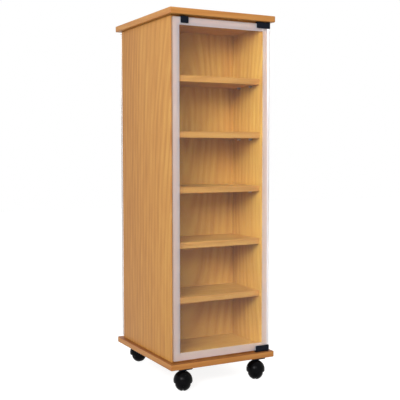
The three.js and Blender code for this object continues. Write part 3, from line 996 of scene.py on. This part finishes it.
def castor_lines(corner):
    """Foot of the swivel's line on the floor, middle of the axle, and the directions in which
    the castor trails and its axle points, out of the left wheel."""
    swivel = np.array(joints[f"castor_{corner}_swivel"]["pos_m"]) * [1, 1, 0]
    spin = joints[f"castor_{corner}_left_wheel_spin"]
    on_axle, axle = np.array(spin["pos_m"]), np.array(spin["axis"], float)
    trailing = np.cross(axle, UP)
    middle = swivel + trailing * ((on_axle - swivel) @ trailing) + UP * on_axle[2]
    return swivel, middle, trailing, axle


def arc(radius, start, end):
    """Points radius * (cos a, sin a) of a circle, between two angles."""
    angle = np.linspace(start, end, ARC_STEPS)
    return radius * np.stack([np.cos(angle), np.sin(angle)], axis=1)


for corner in CORNERS:
    swivel, middle, _, _ = castor_lines(corner)
    print(corner, "castor trails by", round(math.dist(swivel[:2], middle[:2]) / MM, 1), "mm")

# %% [markdown]
# ## Castor wheels
# Both wheels of a castor are the two sides of one ball. A wheel could be cut from a sphere, but
# as a turned outline it also gets its level tread, the fine groove beside it, and the recess in
# the hub that the axle's cap sits in.

# %% Castor wheels
WHEEL_TREAD = 2.5 * MM
WHEEL_GROOVE = 0.4 * MM
CAP_RECESS = 2 * MM
CAP_RECESS_RADIUS = 4.2 * MM


def wheel(corner, side):
    """The ball's radius follows from the tread: the hypotenuse of the wheel's radius and the
    distance of the tread's end from the castor's middle."""
    name = f"castor_{corner}_{side}_wheel"
    _, middle, _, axle = castor_lines(corner)
    outward = axle * SIDES[side]
    radius = middle[2]
    inner, outer = reach(name, outward, middle)
    tread_end = inner + WHEEL_TREAD
    ball = math.hypot(radius, tread_end)
    dome = arc(ball, math.asin(tread_end / ball), math.asin(outer / ball))
    bore = AXLE_RADIUS + RUNNING_GAP
    tread = softened([
        (bore, inner), (radius, inner), (radius, tread_end - WHEEL_GROOVE),
        (radius - WHEEL_GROOVE, tread_end - WHEEL_GROOVE / 2), dome[0],
    ], SOFT / 2)
    hub = softened([
        dome[-1], (CAP_RECESS_RADIUS, outer), (CAP_RECESS_RADIUS, outer - CAP_RECESS),
        (bore, outer - CAP_RECESS),
    ], SOFT / 2)
    shell = turned(np.concatenate([tread, dome[1:], hub[1:]]), middle, outward, closed=True)
    stand_in(name, "moulding", [shell], NYLON)


for corner in CORNERS:
    for side in SIDES:
        wheel(corner, side)
print("wheels turned")

# %% [markdown]
# ## Castor hoods
# The hood is one moulding: a dome that is cut off just above the axle, a socket for the kingpin,
# and a web that stands between the wheels and carries the axle. The dome and the socket are
# turned. The web is flat, so its outline is carried across: round the axle below, and as high
# as the dome's wall.

# %% Castor hoods
HOOD_WALL = 1.3 * MM
HUB_RISE = 0.2 * MM
RIM_LIFT = 1.3 * MM
KINGPIN_RADIUS = 4 * MM
SOCKET_RADIUS = 9 * MM
SOCKET_GAP = 0.4 * MM
WEB_HALF = 1.5 * MM


def web_outline(web, offset, rise, dome, half):
    """Lower arc of the web's own radius about the axle, then an arc of the dome's radius about
    the dome's middle, which lies at (offset, rise). Half the stem's width is where they part."""
    start = math.acos((offset - half) / web)
    end = 2 * math.pi + math.acos((offset + half) / web)
    spread = math.acos(half / dome)
    upper = arc(dome, spread, math.pi - spread) + [offset, rise]
    return np.concatenate([arc(web, start, end), upper])


def hood_socket(kingpin, top):
    """Cup whose floor lies just under the kingpin's end, and whose rim is the hood's top."""
    clear = KINGPIN_RADIUS + RUNNING_GAP
    floor_above, floor_below = kingpin - SOCKET_GAP, kingpin - SOCKET_GAP - HOOD_WALL
    return softened([
        (0, floor_below), (SOCKET_RADIUS / 2, floor_below), (SOCKET_RADIUS, kingpin),
        (SOCKET_RADIUS, top), (clear, top), (clear, floor_above), (0, floor_above),
    ], SOFT / 2)


def hood(corner):
    """Dome, socket and web. The dome goes round a line of its own, behind the swivel's."""
    name = f"castor_{corner}_hood"
    swivel, middle, trailing, axle = castor_lines(corner)
    low, high, _ = box_of(name)
    radius = reach(name, axle, swivel)[1]
    trail = reach(name, trailing, swivel)[1] - radius
    centre = high[2] - HUB_RISE - radius
    outer = arc(radius, math.pi / 2, math.asin((middle[2] + RIM_LIFT - centre) / radius))
    inner = outer[::-1] * (1 - HOOD_WALL / radius)
    rim = softened([outer[-2], outer[-1], inner[0], inner[1]], SOFT / 2)[1:-1]
    dome = np.concatenate([outer[:-1], rim, inner[1:]])
    web = web_outline(
        middle[2] - low[2], trail - (middle - swivel) @ trailing, centre - middle[2],
        radius - HOOD_WALL / 2, trail - KINGPIN_RADIUS - RUNNING_GAP - HOOD_WALL,
    )
    shells = [
        turned(dome, swivel + trail * trailing + centre * UP, UP),
        turned(hood_socket(edge_of(f"castor_{corner}_plate", "z", -1), high[2]), swivel, UP),
        *carried(web, middle - WEB_HALF * axle, trailing, UP, axle, 2 * WEB_HALF, SOFT / 2),
    ]
    stand_in(name, "moulding", shells, NYLON)


for corner in CORNERS:
    hood(corner)
print("hoods moulded")

# %% [markdown]
# ## Axles and plate screws
# A steel axle runs through the web and both wheels, and a domed cap on each end holds them. Four
# low screw heads with a cross recess hold each plate under the base board. Both are made as the
# hinges' pins and screws are.

# %% Axles and plate screws
AXLE_CAP = 1.2 * MM
PLATE_THICKNESS = 3 * MM
SCREW_SPACING = 30 * MM
SCREW_CORNERS = ((-1, -1), (1, -1), (1, 1), (-1, 1))
PLATE_SCREW = {"radius": 3.6 * MM, "height": 0.9 * MM, "recess": cross_depth, "size": 3.6 * MM}


def axle_pin(corner):
    """Rod with a rounded cap at each end, as one turned outline."""
    name = f"castor_{corner}_axle"
    _, middle, _, axle = castor_lines(corner)
    cap = reach(name, UP, middle)[1]
    end = reach(name, axle, middle)[1]
    shoulder = end - AXLE_CAP
    outline = softened([
        (0, -end), (cap, -end), (cap, -shoulder), (AXLE_RADIUS, -shoulder),
        (AXLE_RADIUS, shoulder), (cap, shoulder), (cap, end), (0, end),
    ], SOFT)
    stand_in(name, "rivet", [turned(outline, middle, axle)], BLACK_STEEL)


def plate_screws(corner):
    """Four heads under the plate, on the corners of a square about the swivel's line."""
    swivel = castor_lines(corner)[0]
    under = edge_of("base_board", "z", -1) - PLATE_THICKNESS
    for number, (across, along) in enumerate(SCREW_CORNERS, start=1):
        spot = swivel + np.array([across, along, 0]) * SCREW_SPACING / 2 + UP * under
        head = screw_head(spot, -UP, **PLATE_SCREW)
        make_piece(f"castor_{corner}_screw_{number}", [head], STEEL, "carcass")


for corner in CORNERS:
    axle_pin(corner)
    plate_screws(corner)
print("axles and screws made")

# %% [markdown]
# ## The studio
# A pale floor runs out to a white surround. Both show plain white to the camera, also through
# the glass and mirrored in it, but they light the tower less. The light path tells the two
# apart: a ray that has met only glass or gloss since the camera sees white, and a ray that left
# a matt surface sees the lower level.

# %% Floor and surround
FLOOR_HALF = 6.0
FLOOR_POINTS = 3
FLOOR_DROP = 0.2 * MM
FLOOR_DARK = (0.34, 0.34, 0.34, 1.0)
FLOOR_LIGHT = (0.36, 0.36, 0.36, 1.0)
FLOOR_CLOUDS_PER_METRE = 1.5
FLOOR_ROUGHNESS = 0.8
FLOOR_SHINE = 0.1
FLOOR_GLOW = 0.87
SKY_STRENGTH = 0.5
WHITE = (1.0, 1.0, 1.0, 1.0)
HALF_A_BOUNCE = 0.5


def backdrop_share(tree):
    """1 on a camera ray, or on a mirrored or passed ray before any matt bounce, else 0."""
    path = tree.add("LightPath").outputs
    clear = tree.maths("MAXIMUM", path["Is Glossy Ray"], path["Is Transmission Ray"])
    before_matt = tree.maths("LESS_THAN", path["Diffuse Depth"], HALF_A_BOUNCE)
    return tree.maths("MAXIMUM", path["Is Camera Ray"], tree.maths("MULTIPLY", clear, before_matt))


def pale_floor():
    """Grey to the lamps, with a glow that lifts it to white for the camera."""
    finish = Finish("pale_floor", Roughness=FLOOR_ROUGHNESS, Specular_IOR_Level=FLOOR_SHINE)
    cloud = finish.noise(finish.place, FLOOR_CLOUDS_PER_METRE)
    finish.colour(finish.blend(cloud, FLOOR_DARK, FLOOR_LIGHT))
    level = finish.maths("MULTIPLY", backdrop_share(finish), FLOOR_GLOW)
    glow = finish.add("Emission", Color=WHITE, Strength=level)
    both = finish.add("AddShader", in0=finish.shader, in1=glow)
    finish.feed(both, finish.output.inputs["Surface"])
    return finish.material


edge = np.linspace(-FLOOR_HALF, FLOOR_HALF, FLOOR_POINTS)
floor_x, floor_y = np.meshgrid(edge, edge, indexing="ij")
floor_points = np.stack([floor_x, floor_y, np.full_like(floor_x, -FLOOR_DROP)], axis=2)
floor_faces = grid_faces(FLOOR_POINTS, FLOOR_POINTS, False, False)[:, ::-1]
floor_mesh = bpy.data.meshes.new("floor")
floor_mesh.from_pydata(floor_points.reshape(-1, 3).tolist(), [], floor_faces.tolist())
floor_mesh.materials.append(pale_floor())
placed("floor", floor_mesh)

world = bpy.data.worlds.new("surround")
bpy.context.scene.world = world
world.use_nodes = True
sky = Nodes(world.node_tree)
sky_level = sky.add("MapRange", Value=backdrop_share(sky), To_Min=SKY_STRENGTH, To_Max=1.0)
sky_light = sky.add("Background", Color=WHITE, Strength=sky_level)
sky.add("OutputWorld", Surface=sky_light)
print("floor and surround made")

# %% [markdown]
# ## Lamps
# A large soft lamp on the left, a little above the tower, lights the side panel and the front. A
# second one, farther off and more in front, lifts the shadows. A third one lights the right side
# and the rear. It is kept out of reflections, or it would bleach the top board.

# %% Lamps
AIM = Vector((0, 0, TOWER_HEIGHT / 2))
LAMPS = {
    "key_lamp": {"place": (-1.9, -1.7, 1.4), "size": 0.8, "power": 44},
    "fill_lamp": {"place": (-1.6, -3.4, 2.2), "size": 1.6, "power": 32},
    "rear_lamp": {"place": (2.4, 2.2, 1.9), "size": 1.4, "power": 60, "mirrored": False},
}


def soft_lamp(name, place, size, power, mirrored=True):
    """Square area lamp that faces the middle of the tower."""
    data = bpy.data.lights.new(name, "AREA")
    data.size = size
    data.energy = power
    lamp = placed(name, data)
    lamp.location = place
    lamp.rotation_mode = "QUATERNION"
    lamp.rotation_quaternion = (AIM - Vector(place)).to_track_quat("-Z", "Y")
    lamp.visible_glossy = mirrored


for name, values in LAMPS.items():
    soft_lamp(name, **values)
print(len(LAMPS), "soft lamps made")

# %% [markdown]
# ## The camera
# It stands to the left of the front, a little above half height, and looks slightly down. The
# focal length is long, so the upright edges stay almost parallel.

# %% Camera
CAMERA_PLACE = (-1.00986, -1.94538, 0.61119)
CAMERA_TURN = math.radians(27.980)
CAMERA_DIP = math.radians(3.503)
CAMERA_ROLL = math.radians(0.073)
SENSOR_WIDTH = 36.0
IMAGE_WIDTH = 400
FOCAL_PIXELS = 785.64

camera_data = bpy.data.cameras.new("camera")
camera_data.sensor_fit = "HORIZONTAL"
camera_data.sensor_width = SENSOR_WIDTH
camera_data.lens = FOCAL_PIXELS / IMAGE_WIDTH * SENSOR_WIDTH
camera = placed("camera", camera_data)
camera.location = CAMERA_PLACE
camera.rotation_mode = "XYZ"
camera.rotation_euler = (math.pi / 2 - CAMERA_DIP, CAMERA_ROLL, -CAMERA_TURN)
bpy.context.scene.camera = camera
bpy.context.scene.view_settings.view_transform = "Standard"
print("the lens is", round(camera_data.lens, 1), "mm long")
